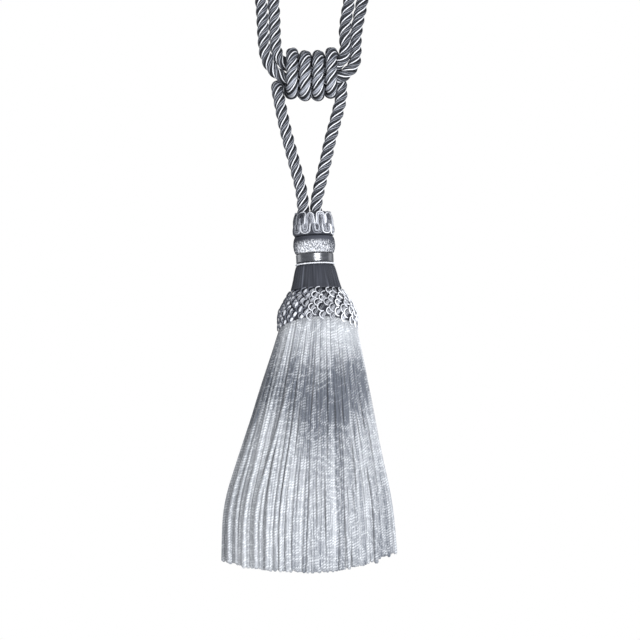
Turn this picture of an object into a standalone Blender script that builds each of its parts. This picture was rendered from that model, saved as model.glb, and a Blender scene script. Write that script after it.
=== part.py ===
"""Curtain tieback with a key tassel: a doubled twisted rope that goes round the curtain, a second
twisted rope wound round its middle, and below them a thread-covered head with a bullion skirt.

Metres, +Z up, the front of the tieback faces -Y. The origin is where the wall hook bears on the
rope at the top of the two end loops, and everything hangs below it.
"""

import math
import random

import bmesh
import bpy
from mathutils import Matrix, Vector

MM = 0.001
GAP = 0.3 * MM  # left between two pieces that touch

# Rope: three strands laid up right-handed.
ROPE_CREST = 3.75 * MM
ROPE_GROOVE = 2.45 * MM
ROPE_STRANDS = 3
ROPE_LAY = 18.9 * MM  # length of rope in which a strand goes once round
RINGS_PER_LAY = 8
ROUTE_STEP = 0.5 * MM  # spacing of the points that a route is smoothed to before it is swept

# Embrace: one ring of rope, laid flat as two runs side by side, with an eye left at each end.
KNOT = Vector((0.0, 0.0, -240.0)) * MM  # middle of the two runs inside the winding
RUN_OFFSET = 3.9 * MM  # from the middle of the pair to the middle of each run in the winding
EYE_ARC_POINTS = 5
# The middle of the pair, from the left eye down through the winding and up to the right eye, with
# half the distance between the runs and, in degrees, how far the inner run is turned to the front.
EMBRACE_ROUTE = (
    (0.0, -4.05, -4.75, 8.5, 0),
    (-3.4, -4.05, -12.6, 8.3, 0),
    (-7.5, -4.05, -22.0, 7.1, 0),
    (-15.0, -4.0, -42.0, 4.4, 0),
    (-22.0, -2.9, -66.0, 3.9, 0),
    (-27.5, -1.2, -94.0, 3.9, 0),
    (-30.5, -0.2, -124.0, 3.9, -4),
    (-30.5, 0.0, -152.0, 3.9, -12),
    (-28.4, 0.0, -178.0, 3.95, -20),
    (-26.4, 0.0, -197.0, 4.0, -24),
    (-25.7, 0.0, -210.0, 3.95, -27),
    (-25.2, 0.0, -219.0, 3.9, -28),
    (-24.0, 0.0, -227.0, 3.9, -26),
    (-21.2, 0.0, -232.6, 3.9, -18),
    (-16.8, 0.0, -236.4, 3.9, -7),
    (-11.5, 0.0, -238.4, 3.9, 0),
    (-6.0, 0.0, -239.5, 3.9, 0),
    (0.0, 0.0, -240.0, 3.9, 0),
    (6.5, 0.0, -239.4, 3.9, 0),
    (12.4, 0.0, -238.3, 3.9, 0),
    (18.2, 0.0, -235.9, 3.9, 0),
    (22.6, 0.0, -231.0, 3.9, 18),
    (24.0, 0.0, -223.5, 3.95, 40),
    (23.8, 0.0, -215.0, 4.0, 32),
    (24.9, 0.0, -205.5, 4.1, 26),
    (27.0, 0.0, -194.5, 4.2, 24),
    (29.8, 0.0, -176.0, 4.2, 18),
    (32.0, 0.0, -150.0, 4.1, 8),
    (32.0, 0.2, -123.0, 4.0, 0),
    (28.5, 1.2, -94.0, 3.9, 0),
    (22.8, 2.9, -66.0, 3.9, 0),
    (15.4, 4.0, -42.0, 4.4, 0),
    (7.7, 4.05, -22.0, 7.1, 0),
    (3.5, 4.05, -12.6, 8.3, 0),
    (0.0, 4.05, -4.75, 8.5, 0),
)

# Hanger: one rope, from the head up behind the embrace, round it and back down to the head.
WINDING_RIGHT = 12.3 * MM  # from the knot's middle to the top of the rightmost turn's front
WINDING_PITCH = 7.9 * MM
WINDING_START = -0.3  # of a turn, counted from the top of the rightmost turn
WINDING_END = 3.5
WINDING_CLEARANCE = 0.6 * MM
WINDING_RISE = 14.0  # per metre: the winding's ends ride up with the pair inside it
WINDING_POINTS_PER_TURN = 20
# Legs from the winding to the head, counted from the knot's middle.
RIGHT_LEG = (
    (18.4, 7.9, -5.5),
    (18.2, 6.8, -12.0),
    (16.6, 5.4, -19.5),
    (14.3, 4.0, -28.5),
    (11.4, 2.8, -39.5),
    (9.0, 1.8, -51.0),
    (6.9, 1.0, -60.0),
    (4.8, 0.3, -69.0),
    (3.2, 0.0, -77.5),
    (3.25, 0.0, -84.0),
    (3.5, 0.0, -89.6),
)
LEFT_LEG = (
    (-12.4, 4.0, -9.8),
    (-13.5, 7.0, -7.9),
    (-16.0, 8.5, -5.8),
    (-18.6, 8.1, -4.8),
    (-20.3, 5.8, -5.0),
    (-20.6, 2.8, -7.3),
    (-19.5, 0.4, -13.0),
    (-17.7, -1.0, -22.5),
    (-15.3, -0.9, -33.5),
    (-12.3, -0.6, -45.0),
    (-9.1, -0.3, -57.0),
    (-6.3, -0.1, -68.0),
    (-4.9, 0.0, -77.5),
    (-4.75, 0.0, -84.0),
    (-4.5, 0.0, -89.6),
)

# Head: turned pieces stacked on an axis that leans a little. Heights are counted down from its top.
HEAD_TOP = KNOT + Vector((1.0, 0.0, -83.1)) * MM
HEAD_LEAN = math.radians(-2.6)
TURNED_SIDES = 36
POCKET_RADIUS = ROPE_CREST + 0.4 * MM
POCKET_SPACING = 8.0 * MM
POCKET_SIDES = 24
POCKET_OFFSET = -1.75 * MM
POCKET_DEPTH = 7.0 * MM

RUFF_HEIGHT = 14.7 * MM
RUFF_LOOPS = 18
RUFF_SAMPLES_PER_LOOP = 4
RUFF_LOOP_DEPTH = 1.0 * MM
# (share of the height from the top, radius in mm, share of the loop depth, half a loop round)
RUFF_ROWS = (
    (0.0, 9.4, 0.0, 0.0),
    (0.04, 10.9, 0.7, 0.0),
    (0.24, 12.2, 1.0, 0.0),
    (0.44, 12.2, 0.8, 0.0),
    (0.55, 12.0, 0.8, 0.5),
    (0.74, 12.8, 1.0, 0.5),
    (0.92, 12.3, 0.8, 0.5),
    (1.0, 10.8, 0.0, 0.5),
)

# (height below the head's top, radius), both in mm
ROLL_PROFILE_MM = (
    (15.0, 10.9),
    (15.4, 11.7),
    (17.2, 12.3),
    (20.2, 12.6),
    (23.0, 12.2),
    (24.8, 11.6),
    (25.2, 11.0),
)
SATIN_PROFILE_MM = ((25.5, 10.9), (25.9, 11.3), (28.2, 11.15), (30.4, 11.3), (30.8, 10.9))
BELL_PROFILE_MM = (
    (31.1, 10.5),
    (32.5, 10.5),
    (32.7, 11.5),
    (34.4, 12.1),
    (37.4, 12.9),
    (41.0, 13.7),
    (44.4, 14.6),
    (46.9, 15.4),
    (47.1, 14.9),
)
NECK_CORD_HEIGHT = 31.75 * MM
NECK_CORD_RADIUS = 11.4 * MM
NECK_CORD_THICKNESS = 0.55 * MM
NECK_CORD_SIDES = 6

# Netted collar: staggered knots over a dome.
COLLAR_KNOTS = 22
COLLAR_KNOT_ROWS = 6
COLLAR_KNOT_HEIGHT = 1.5 * MM
COLLAR_TOP = 47.4 * MM
COLLAR_BOTTOM = 70.5 * MM
COLLAR_EDGE = 1.1 * MM  # height of the plain edge above and below the knots
COLLAR_CROWN_RADIUS = 14.6 * MM
COLLAR_FULL_RADIUS = 22.8 * MM

# Skirt: two rings of bullion locks below a round heading.
OUTER_LOCKS = 84
HEADING_TOP = 70.8 * MM
HEADING_BOTTOM = 73.6 * MM
HEADING_RADIUS = 23.4 * MM
OUTER_ROOT = (22.9 * MM, 21.1 * MM)
INNER_ROOT = (18.2 * MM, 15.6 * MM)
ROOT_SHARE = 0.72  # of a lock's share of the heading that its root takes
LOCK_LENGTH = 142.4 * MM
SIDE_LOCKS_SHORTER = (3.8 * MM, 8.6 * MM)  # at the left and at the right
FLARE = 1.3  # of the way out to the hem, per share of a lock's length, over its upper part
FLARE_BEND = (0.66, 0.88)  # shares of the length between which a lock bends to hang straight
LOCK_RINGS = (0.16, 0.42, 0.72, 1.0)
INNER_LOCK_RINGS = (0.3, 0.66, 1.0)
HEM_CENTRE = KNOT + Vector((-1.4, 0.0, 0.0)) * MM
HEM_HALF_WIDTH = 50.4 * MM
HEM_HALF_DEPTH = 44.0 * MM
INNER_HEM_SHARE = 0.7
OUTER_LOCK_END = (1.4 * MM, 1.25 * MM)  # half width and half thickness at the hem
INNER_LOCK_END = (1.9 * MM, 1.6 * MM)
HEM_UNEVENNESS = 1.3 * MM
SEED = 7

# name: (base colour, roughness, metallic)
FINISHES = {
    "rope": ((0.36, 0.37, 0.41, 1.0), 0.38, 0.0),
    "ruff": ((0.42, 0.43, 0.46, 1.0), 0.42, 0.0),
    "boucle": ((0.66, 0.67, 0.70, 1.0), 0.6, 0.0),
    "satin": ((0.25, 0.26, 0.30, 1.0), 0.25, 0.0),
    "net": ((0.46, 0.47, 0.50, 1.0), 0.42, 0.0),
    "bullion": ((0.52, 0.54, 0.59, 1.0), 0.45, 0.0),
}


def clear_scene():
    for found in list(bpy.data.objects):
        bpy.data.objects.remove(found)


def material(name):
    colour, roughness, metallic = FINISHES[name]
    made = bpy.data.materials.get(name) or bpy.data.materials.new(name)
    made.use_nodes = True
    shader = made.node_tree.nodes["Principled BSDF"]
    shader.inputs["Base Color"].default_value = colour
    shader.inputs["Roughness"].default_value = roughness
    shader.inputs["Metallic"].default_value = metallic
    return made


def add_object(name, mesh, finish):
    mesh.materials.append(material(finish))
    made = bpy.data.objects.new(name, mesh)
    bpy.context.scene.collection.objects.link(made)
    return made


def mesh_of(name, points, faces):
    mesh = bpy.data.meshes.new(name)
    mesh.from_pydata(points, [], faces)
    mesh.shade_smooth()
    mesh.set_sharp_from_angle(angle=math.radians(50))
    return mesh


# ---- routes ----


def spline(points, closed, pieces=12):
    """Points on a Catmull-Rom curve through points."""
    count = len(points)
    spans = count if closed else count - 1
    made = []
    for i in range(spans):
        if closed:
            a, b, c, d = (points[(i + k) % count] for k in (-1, 0, 1, 2))
        else:
            b, c = points[i], points[i + 1]
            a = points[i - 1] if i else b * 2 - c
            d = points[i + 2] if i + 2 < count else c * 2 - b
        for k in range(pieces):
            t = k / pieces
            made.append(
                0.5
                * (
                    2 * b
                    + (c - a) * t
                    + (2 * a - 5 * b + 4 * c - d) * t * t
                    + (3 * b - a - 3 * c + d) * t * t * t
                )
            )
    if not closed:
        made.append(points[-1].copy())
    return made


def evenly(points, step, closed):
    """The line through points again, in equal steps that are as near step as fits its length."""
    line = points + [points[0]] if closed else points
    along = [0.0]
    for a, b in zip(line, line[1:]):
        along.append(along[-1] + (b - a).length)
    count = round(along[-1] / step)
    made, i = [], 0
    for k in range(count if closed else count + 1):
        at = along[-1] * k / count
        while i < len(along) - 2 and along[i + 1] < at:
            i += 1
        made.append(line[i].lerp(line[i + 1], (at - along[i]) / (along[i + 1] - along[i])))
    return made, along[-1]


def embrace_route():
    """The ring of rope: along the inner run, round the right eye, back along the outer run."""
    middle = [Vector(row[:3]) * MM for row in EMBRACE_ROUTE]
    inner, outer = [], []
    for i, (*_, offset, turned_by) in enumerate(EMBRACE_ROUTE):
        ahead = middle[min(i + 1, len(middle) - 1)] - middle[max(i - 1, 0)]
        inward = Vector((-ahead.z, 0.0, ahead.x)).normalized()
        turn = math.radians(turned_by)
        across = (inward * math.cos(turn) - Vector((0.0, math.sin(turn), 0.0))) * offset * MM
        inner.append(middle[i] + across)
        outer.append(middle[i] - across)
    right = eye_arc(inner[-1], outer[-1], middle[-1] - middle[-2])
    left = eye_arc(outer[0], inner[0], middle[0] - middle[1])
    return inner + right + outer[::-1] + left


def eye_arc(start, end, onward):
    """Points on the half circle from start to end that bulges onward, without its two ends."""
    centre = (start + end) / 2
    across = start - centre
    bulge = Vector((onward.x, 0.0, onward.z)).normalized() * across.length
    turns = [math.pi * k / (EYE_ARC_POINTS + 1) for k in range(1, EYE_ARC_POINTS + 1)]
    return [centre + across * math.cos(turn) + bulge * math.sin(turn) for turn in turns]


def winding_point(turn):
    """A point of the winding, in turns counted from the top of the rightmost one, front first."""
    width = 2 * ROPE_CREST + WINDING_CLEARANCE
    quarter, side = math.pi * width / 2, 2 * RUN_OFFSET
    share = turn % 1.0
    half = (share % 0.5) * (4 * quarter + 2 * side)  # way along this half of the turn
    if half < quarter:
        y, z = width * math.sin(half / width), RUN_OFFSET + width * math.cos(half / width)
    elif half < quarter + side:
        y, z = width, RUN_OFFSET - (half - quarter)
    else:
        angle = (half - quarter - side) / width
        y, z = width * math.cos(angle), -RUN_OFFSET - width * math.sin(angle)
    travel = 0.0
    if share < 0.5:
        y = -y
    else:
        travel = share * 2 - 1
        z = -z
    x = WINDING_RIGHT - WINDING_PITCH * (math.floor(turn) + travel)
    return KNOT + Vector((x, y, z + WINDING_RISE * x * x))


def hanger_route():
    count = round((WINDING_END - WINDING_START) * WINDING_POINTS_PER_TURN)
    turns = [WINDING_START + (WINDING_END - WINDING_START) * k / count for k in range(count + 1)]
    left = [KNOT + Vector(p) * MM for p in LEFT_LEG]
    right = [KNOT + Vector(p) * MM for p in RIGHT_LEG]
    return right[::-1] + [winding_point(turn) for turn in turns] + left


# ---- rope ----


def carried_frames(line, closed):
    """A direction across the line at each of its points, carried along without turning about it."""
    count = len(line)
    tangents = []
    for i in range(count):
        a = line[(i - 1) % count] if closed else line[max(i - 1, 0)]
        b = line[(i + 1) % count] if closed else line[min(i + 1, count - 1)]
        tangents.append((b - a).normalized())
    across = [Vector((0.0, 1.0, 0.0)).cross(tangents[0]).normalized()]
    for a, b in zip(tangents, tangents[1:]):
        across.append((a.rotation_difference(b) @ across[-1]).normalized())
    return tangents, across


def rope(name, route, closed):
    """A twisted rope swept along a route as one closed solid."""
    line, length = evenly(spline(route, closed), ROPE_LAY / RINGS_PER_LAY, closed)
    tangents, across = carried_frames(line, closed)
    lays = length / ROPE_LAY
    closing = 0.0
    if closed:
        lays = round(lays * ROPE_STRANDS) / ROPE_STRANDS
        back = tangents[-1].rotation_difference(tangents[0]) @ across[-1]
        closing = math.atan2(across[0].cross(back).dot(tangents[0]), across[0].dot(back))
    spans = len(line) if closed else len(line) - 1
    sides = 2 * ROPE_STRANDS
    points = []
    for i, centre in enumerate(line):
        turn = (2 * math.pi * lays - closing) * i / spans
        other = tangents[i].cross(across[i])
        for k in range(sides):
            angle = turn + 2 * math.pi * k / sides
            radius = ROPE_GROOVE if k % 2 else ROPE_CREST
            points.append(centre + (across[i] * math.cos(angle) + other * math.sin(angle)) * radius)
    # The strands' symmetry lets a closed ring meet itself a whole number of strands round.
    shift = 0
    if closed:
        shift = round(lays * ROPE_STRANDS) % ROPE_STRANDS * 2
    faces = []
    for i in range(spans):
        here = i * sides
        there = (i + 1) % len(line) * sides
        skew = shift if there < here else 0
        for k in range(sides):
            low, high = k, (k + 1) % sides
            faces.append(
                (here + low, here + high, there + (high + skew) % sides, there + (low + skew) % sides)
            )
    if not closed:
        faces.append(tuple(range(sides))[::-1])
        faces.append(tuple(range(spans * sides, (spans + 1) * sides)))
    return add_object(name, mesh_of(name, points, faces), "rope")


# ---- head ----


def head_matrix():
    return Matrix.Translation(HEAD_TOP) @ Matrix.Rotation(HEAD_LEAN, 4, "Y")


def rings_solid(name, rings):
    """A closed solid from rings of points of equal count, top ring first, with flat ends."""
    sides = len(rings[0])
    points = [point for ring in rings for point in ring]
    faces = []
    for i in range(len(rings) - 1):
        for k in range(sides):
            high = (k + 1) % sides
            faces.append(
                (i * sides + high, i * sides + k, (i + 1) * sides + k, (i + 1) * sides + high)
            )
    faces.append(tuple(range(sides)))
    faces.append(tuple(range((len(rings) - 1) * sides, len(rings) * sides))[::-1])
    return mesh_of(name, points, faces)


def on_head(angle, radius, height):
    return Vector((radius * math.cos(angle), radius * math.sin(angle), -height))


def turned(name, profile_mm, finish, parent):
    angles = [2 * math.pi * k / TURNED_SIDES for k in range(TURNED_SIDES)]
    rings = [[on_head(a, r * MM, h * MM) for a in angles] for h, r in profile_mm]
    made = add_object(name, rings_solid(name, rings), finish)
    made.parent = parent
    return made


def pocket_cutter(parent):
    """The long hole that the hanger's two ends go into side by side."""
    rim = []
    for k in range(POCKET_SIDES):
        angle = 2 * math.pi * (k + 0.5) / POCKET_SIDES
        side = math.copysign(POCKET_SPACING / 2, math.cos(angle))
        rim.append((POCKET_OFFSET + side + POCKET_RADIUS * math.cos(angle), POCKET_RADIUS * math.sin(angle)))
    rings = [[Vector((x, y, z)) for x, y in rim] for z in (POCKET_DEPTH, -POCKET_DEPTH)]
    cutter = bpy.data.objects.new("ruff_pocket", rings_solid("ruff_pocket", rings))
    bpy.context.scene.collection.objects.link(cutter)
    cutter.parent = parent
    cutter.hide_render = True
    cutter.display_type = "WIRE"
    return cutter


def cap_ruff(parent):
    """Two tiers of looped yarn round the place where the rope goes into the head."""
    samples = RUFF_LOOPS * RUFF_SAMPLES_PER_LOOP
    rings = []
    for share, radius_mm, depth_share, phase in RUFF_ROWS:
        ring = []
        for k in range(samples):
            loop = k / RUFF_SAMPLES_PER_LOOP + phase
            dip = RUFF_LOOP_DEPTH * depth_share * (1 - abs(math.sin(math.pi * loop)))
            angle = 2 * math.pi * k / samples
            ring.append(on_head(angle, radius_mm * MM - dip, share * RUFF_HEIGHT))
        rings.append(ring)
    made = add_object("cap_ruff", rings_solid("cap_ruff", rings), "ruff")
    made.parent = parent
    cut = made.modifiers.new("pocket", "BOOLEAN")
    cut.operation = "DIFFERENCE"
    cut.object = pocket_cutter(parent)
    return made


def neck_cord(parent):
    shape = bmesh.new()
    rim = [
        on_head(
            0.0,
            NECK_CORD_RADIUS + NECK_CORD_THICKNESS * math.cos(2 * math.pi * k / NECK_CORD_SIDES),
            NECK_CORD_HEIGHT + NECK_CORD_THICKNESS * math.sin(2 * math.pi * k / NECK_CORD_SIDES),
        )
        for k in range(NECK_CORD_SIDES)
    ]
    corners = [shape.verts.new(point) for point in rim]
    edges = [
        shape.edges.new((corners[k], corners[(k + 1) % NECK_CORD_SIDES]))
        for k in range(NECK_CORD_SIDES)
    ]
    bmesh.ops.spin(
        shape,
        geom=corners + edges,
        cent=(0.0, 0.0, 0.0),
        axis=(0.0, 0.0, 1.0),
        angle=2 * math.pi,
        steps=TURNED_SIDES,
        use_merge=True,
    )
    bmesh.ops.recalc_face_normals(shape, faces=shape.faces)
    mesh = bpy.data.meshes.new("neck_cord")
    shape.to_mesh(mesh)
    shape.free()
    mesh.shade_smooth()
    made = add_object("neck_cord", mesh, "satin")
    made.parent = parent
    return made


def collar_radius(share):
    """Radius of the collar's dome, from its crown (0) to its lower edge (1)."""
    rise = COLLAR_FULL_RADIUS - COLLAR_CROWN_RADIUS
    return COLLAR_CROWN_RADIUS + rise * math.sin(min(1.0, share * 1.32) * math.pi / 2) ** 1.15


def netted_collar(parent):
    """A dome with staggered rows of knots, a point on each knot and one in each hollow."""
    sides = 2 * COLLAR_KNOTS
    rows = 2 * COLLAR_KNOT_ROWS
    knotted = COLLAR_BOTTOM - COLLAR_TOP - 2 * COLLAR_EDGE
    angles = [2 * math.pi * k / sides for k in range(sides)]
    rings = [[on_head(a, COLLAR_CROWN_RADIUS, COLLAR_TOP) for a in angles]]
    for row in range(rows + 1):
        share = row / rows
        height = COLLAR_TOP + COLLAR_EDGE + share * knotted
        ring = []
        for k, angle in enumerate(angles):
            raised = row % 2 == 1 and (k + row // 2) % 2 == 0
            radius = collar_radius(share) + (COLLAR_KNOT_HEIGHT if raised else 0.0)
            ring.append(on_head(angle, radius, height))
        rings.append(ring)
    rings.append([on_head(a, COLLAR_FULL_RADIUS - COLLAR_EDGE, COLLAR_BOTTOM) for a in angles])
    made = add_object("netted_collar", rings_solid("netted_collar", rings), "net")
    made.parent = parent
    return made


# ---- skirt ----


def flare(share):
    """Share of the way out to the hem at a share of a lock's length."""
    start, end = FLARE_BEND
    bent = min(max(share - start, 0.0), end - start)
    return FLARE * (min(share, end) - bent * bent / (2 * (end - start)))


def lock_centre(angle, share, root_radius, hem_share, shorter, head):
    """Middle of a lock at a share of its length, from its root at the heading to the hem."""
    root = head @ on_head(angle, root_radius, HEADING_BOTTOM)
    sway = 0.008 * (math.sin(5 * angle + 1.0) + math.sin(9 * angle + 2.3))
    swell = (1.1 * math.sin(3 * angle + 0.5) + 0.8 * math.sin(7 * angle + 2.0)) * MM
    out = Vector((HEM_HALF_WIDTH * math.cos(angle + sway), HEM_HALF_DEPTH * math.sin(angle + sway), 0))
    hem = HEM_CENTRE + out * hem_share + out.normalized() * swell
    spread = Vector((hem.x - root.x, hem.y - root.y, 0.0))
    side = SIDE_LOCKS_SHORTER[math.cos(angle) > 0.0]
    length = LOCK_LENGTH - shorter - side * math.cos(angle) ** 2
    drop = math.sqrt(length**2 - spread.length_squared)
    return root + spread * flare(share) - Vector((0.0, 0.0, drop * share))


def add_lock(points, faces, root, angle, rings, root_radius, hem_share, end, shorter, head):
    """Extrudes the heading's cell with the corners root (outer pair, then inner pair) into a lock."""
    along = Vector((-math.sin(angle), math.cos(angle), 0.0))
    out = Vector((math.cos(angle), math.sin(angle), 0.0))
    width = (points[root[0]] - points[root[1]]).length / 2
    thickness = (points[root[1]] - points[root[2]]).length / 2
    above = root
    for share in rings:
        centre = lock_centre(angle, share, root_radius, hem_share, shorter, head)
        w = width + (end[0] - width) * share**0.9
        t = thickness + (end[1] - thickness) * share
        below = tuple(range(len(points), len(points) + 4))
        points.extend(centre + out * t * a + along * w * b for a, b in ((1, -1), (1, 1), (-1, 1), (-1, -1)))
        for k in range(4):
            n = (k + 1) % 4
            faces.append((above[n], above[k], below[k], below[n]))
        above = below
    faces.append(above[::-1])


def skirt():
    """The heading and its locks as one solid: each lock grows out of a cell of the heading's underside."""
    head = head_matrix()
    chance = random.Random(SEED)
    points, faces = [], []
    cell = 2 * math.pi / OUTER_LOCKS

    def circle(radius, height, angles):
        first = len(points)
        points.extend(head @ on_head(a, radius, height) for a in angles)
        return list(range(first, len(points)))

    even = [cell * k for k in range(OUTER_LOCKS)]
    paired = [a + b for a in even for b in (0.0, cell * ROOT_SHARE)]
    top = circle(HEADING_RADIUS, HEADING_TOP, even)
    rim = circle(HEADING_RADIUS, HEADING_BOTTOM, even)
    outer_a = circle(OUTER_ROOT[0], HEADING_BOTTOM, paired)
    outer_b = circle(OUTER_ROOT[1], HEADING_BOTTOM, paired)
    inner_a = circle(INNER_ROOT[0], HEADING_BOTTOM, even)
    inner_b = circle(INNER_ROOT[1], HEADING_BOTTOM, even)
    faces.append(tuple(top))
    faces.append(tuple(inner_b[::-1]))
    for k in range(OUTER_LOCKS):
        n = (k + 1) % OUTER_LOCKS
        two, three, four = 2 * k, 2 * k + 1, 2 * n
        faces.append((top[n], top[k], rim[k], rim[n]))
        faces.append((rim[k], outer_a[two], outer_a[three], outer_a[four], rim[n]))
        faces.append((outer_a[three], outer_b[three], outer_b[four], outer_a[four]))
        faces.append((outer_b[two], inner_a[k], inner_a[n], outer_b[four], outer_b[three]))
        root = (outer_a[two], outer_a[three], outer_b[three], outer_b[two])
        angle = even[k] + cell * ROOT_SHARE / 2
        shorter = chance.uniform(0.0, HEM_UNEVENNESS)
        middle = sum(OUTER_ROOT) / 2
        add_lock(points, faces, root, angle, LOCK_RINGS, middle, 1.0, OUTER_LOCK_END, shorter, head)
        if k % 2:
            faces.append((inner_a[k], inner_b[k], inner_b[n], inner_a[n]))
        else:
            root = (inner_a[k], inner_a[n], inner_b[n], inner_b[k])
            angle = even[k] + cell / 2
            middle = sum(INNER_ROOT) / 2
            add_lock(
                points, faces, root, angle, INNER_LOCK_RINGS, middle, INNER_HEM_SHARE, INNER_LOCK_END, shorter, head
            )
    return add_object("skirt", mesh_of("skirt", points, faces), "bullion")


def build():
    clear_scene()
    rope("embrace", embrace_route(), True)
    rope("hanger", hanger_route(), False)
    head = bpy.data.objects.new("head", None)
    head.matrix_world = head_matrix()
    bpy.context.scene.collection.objects.link(head)
    cap_ruff(head)
    turned("neck_roll", ROLL_PROFILE_MM, "boucle", head)
    turned("satin_band", SATIN_PROFILE_MM, "satin", head)
    neck_cord(head)
    turned("bell", BELL_PROFILE_MM, "satin", head)
    netted_collar(head)
    skirt()


build()
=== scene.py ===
"""The finish of a curtain tieback with a key tassel: ropes laid up from three strands with a pale
yarn in each groove, a looped ruff, wound and satin-covered neck, a netted collar and a bullion skirt.

Metres, +Z up, the front faces -Y. Head pieces are turned about the head's own leaning axis.
"""

import math
import random

import bpy
import numpy as np
from mathutils import Matrix, Vector


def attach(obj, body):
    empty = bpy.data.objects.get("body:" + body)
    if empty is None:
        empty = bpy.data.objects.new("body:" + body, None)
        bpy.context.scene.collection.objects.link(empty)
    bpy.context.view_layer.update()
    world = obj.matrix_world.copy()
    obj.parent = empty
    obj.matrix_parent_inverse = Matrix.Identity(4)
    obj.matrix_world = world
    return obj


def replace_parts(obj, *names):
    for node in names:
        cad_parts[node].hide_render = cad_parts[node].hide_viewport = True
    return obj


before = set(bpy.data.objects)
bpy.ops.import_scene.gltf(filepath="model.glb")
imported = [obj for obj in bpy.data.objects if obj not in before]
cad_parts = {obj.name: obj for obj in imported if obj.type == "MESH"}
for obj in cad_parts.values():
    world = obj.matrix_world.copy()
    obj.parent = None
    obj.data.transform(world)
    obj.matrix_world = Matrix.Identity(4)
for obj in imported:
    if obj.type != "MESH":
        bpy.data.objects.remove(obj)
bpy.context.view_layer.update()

MM = 0.001
TAU = 2 * math.pi

# ---- the tieback's driving sizes, as the source gives them ----

ROPE_LAY = 18.9 * MM  # length of rope in which a strand goes once round
KNOT = Vector((0.0, 0.0, -240.0)) * MM  # middle of the two runs inside the winding
RUN_OFFSET = 3.9 * MM  # from the middle of the pair to the middle of each run in the winding
EYE_ARC_POINTS = 5
# The middle of the pair in mm, from the left eye down through the winding and up to the right eye,
# with half the distance between the runs and, in degrees, how far the inner run turns to the front.
EMBRACE_ROUTE = (
    (0.0, -4.05, -4.75, 8.5, 0),
    (-3.4, -4.05, -12.6, 8.3, 0),
    (-7.5, -4.05, -22.0, 7.1, 0),
    (-15.0, -4.0, -42.0, 4.4, 0),
    (-22.0, -2.9, -66.0, 3.9, 0),
    (-27.5, -1.2, -94.0, 3.9, 0),
    (-30.5, -0.2, -124.0, 3.9, -4),
    (-30.5, 0.0, -152.0, 3.9, -12),
    (-28.4, 0.0, -178.0, 3.95, -20),
    (-26.4, 0.0, -197.0, 4.0, -24),
    (-25.7, 0.0, -210.0, 3.95, -27),
    (-25.2, 0.0, -219.0, 3.9, -28),
    (-24.0, 0.0, -227.0, 3.9, -26),
    (-21.2, 0.0, -232.6, 3.9, -18),
    (-16.8, 0.0, -236.4, 3.9, -7),
    (-11.5, 0.0, -238.4, 3.9, 0),
    (-6.0, 0.0, -239.5, 3.9, 0),
    (0.0, 0.0, -240.0, 3.9, 0),
    (6.5, 0.0, -239.4, 3.9, 0),
    (12.4, 0.0, -238.3, 3.9, 0),
    (18.2, 0.0, -235.9, 3.9, 0),
    (22.6, 0.0, -231.0, 3.9, 18),
    (24.0, 0.0, -223.5, 3.95, 40),
    (23.8, 0.0, -215.0, 4.0, 32),
    (24.9, 0.0, -205.5, 4.1, 26),
    (27.0, 0.0, -194.5, 4.2, 24),
    (29.8, 0.0, -176.0, 4.2, 18),
    (32.0, 0.0, -150.0, 4.1, 8),
    (32.0, 0.2, -123.0, 4.0, 0),
    (28.5, 1.2, -94.0, 3.9, 0),
    (22.8, 2.9, -66.0, 3.9, 0),
    (15.4, 4.0, -42.0, 4.4, 0),
    (7.7, 4.05, -22.0, 7.1, 0),
    (3.5, 4.05, -12.6, 8.3, 0),
    (0.0, 4.05, -4.75, 8.5, 0),
)
WINDING_RIGHT = 12.3 * MM  # from the knot's middle to the rightmost turn, in front
WINDING_PITCH = 7.9 * MM
WINDING_START = -0.3  # of a turn, counted from the top of the rightmost turn
WINDING_END = 3.5
WINDING_WIDTH = 8.1 * MM  # from the middle of a run to the middle of the rope that is wound round it
WINDING_RISE = 14.0  # per metre: the winding's ends ride up with the pair inside it
WINDING_POINTS_PER_TURN = 20
# Legs from the winding to the head, in mm from the knot's middle.
RIGHT_LEG = (
    (18.4, 7.9, -5.5),
    (18.2, 6.8, -12.0),
    (16.6, 5.4, -19.5),
    (14.3, 4.0, -28.5),
    (11.4, 2.8, -39.5),
    (9.0, 1.8, -51.0),
    (6.9, 1.0, -60.0),
    (4.8, 0.3, -69.0),
    (3.2, 0.0, -77.5),
    (3.25, 0.0, -84.0),
    (3.5, 0.0, -89.6),
)
LEFT_LEG = (
    (-12.4, 4.0, -9.8),
    (-13.5, 7.0, -7.9),
    (-16.0, 8.5, -5.8),
    (-18.6, 8.1, -4.8),
    (-20.3, 5.8, -5.0),
    (-20.6, 2.8, -7.3),
    (-19.5, 0.4, -13.0),
    (-17.7, -1.0, -22.5),
    (-15.3, -0.9, -33.5),
    (-12.3, -0.6, -45.0),
    (-9.1, -0.3, -57.0),
    (-6.3, -0.1, -68.0),
    (-4.9, 0.0, -77.5),
    (-4.75, 0.0, -84.0),
    (-4.5, 0.0, -89.6),
)
HEAD_TOP = KNOT + Vector((1.0, 0.0, -83.1)) * MM
HEAD_LEAN = math.radians(-2.6)
HEAD = Matrix.Translation(HEAD_TOP) @ Matrix.Rotation(HEAD_LEAN, 4, "Y")
HEADING_BOTTOM = 73.6 * MM
LOCK_LENGTH = 142.4 * MM
SIDE_LOCKS_SHORTER = (3.8 * MM, 8.6 * MM)  # at the left and at the right
FLARE = 1.3  # of the way out to the hem, per share of a cord's length, over its upper part
FLARE_BEND = (0.66, 0.88)  # shares of the length between which a cord bends to hang straight
HEM_CENTRE = KNOT + Vector((-1.4, 0.0, 0.0)) * MM
HEM_HALF_WIDTH = 50.4 * MM
HEM_HALF_DEPTH = 44.0 * MM


# ---- camera, light and floor ----

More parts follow.
